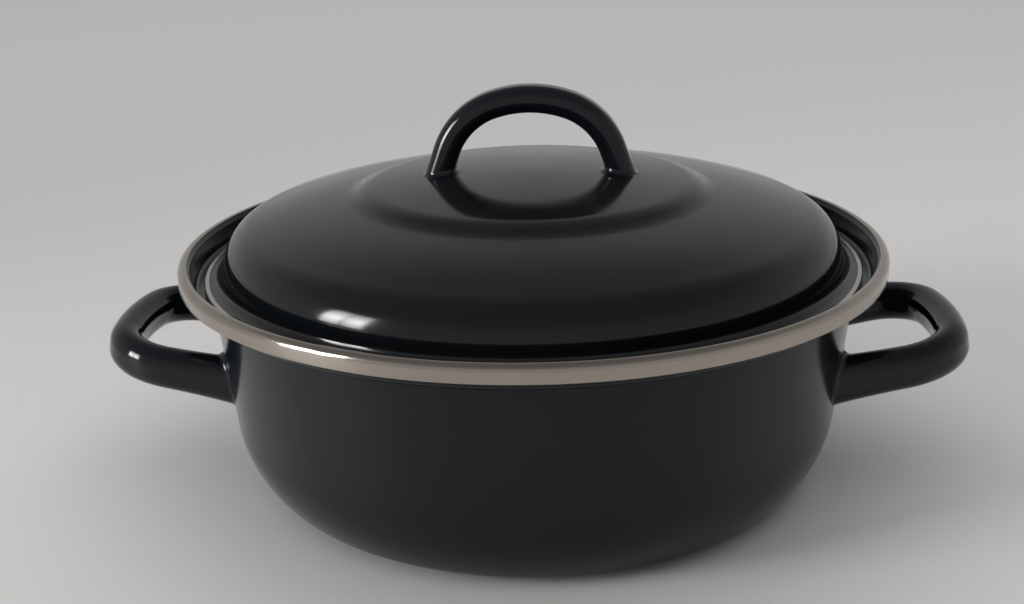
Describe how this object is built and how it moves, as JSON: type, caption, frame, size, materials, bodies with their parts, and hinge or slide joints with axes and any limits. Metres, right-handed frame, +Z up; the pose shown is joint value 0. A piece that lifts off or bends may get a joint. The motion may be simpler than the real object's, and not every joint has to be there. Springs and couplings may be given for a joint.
{
  "type": "dutch oven",
  "caption": "Round enamelled steel casserole with a lid, two looped side handles, an arched lid handle and bright metal bands on both rims.",
  "frame": {"origin": "centre of the base, on the surface that the pot stands on", "axes": "+Z up; the two side handles lie along X, and the lid handle's arch spans X; -Y is the side that faces the camera"},
  "size_m": [0.335, 0.27, 0.1509],
  "materials": {
    "pot_enamel": "glossy black enamel",
    "lid_enamel": "glossy black enamel",
    "handle_enamel": "glossy black enamel",
    "pot_band": "polished stainless",
    "lid_band": "polished stainless"
  },
  "bodies": {
    "root": {"pot_body": "pot_enamel", "pot_rim_band": "pot_band", "right_side_handle": "handle_enamel", "left_side_handle": "handle_enamel", "lid_shell": "lid_enamel", "lid_rim_band": "lid_band", "lid_handle": "handle_enamel"}
  },
  "joints": []
}
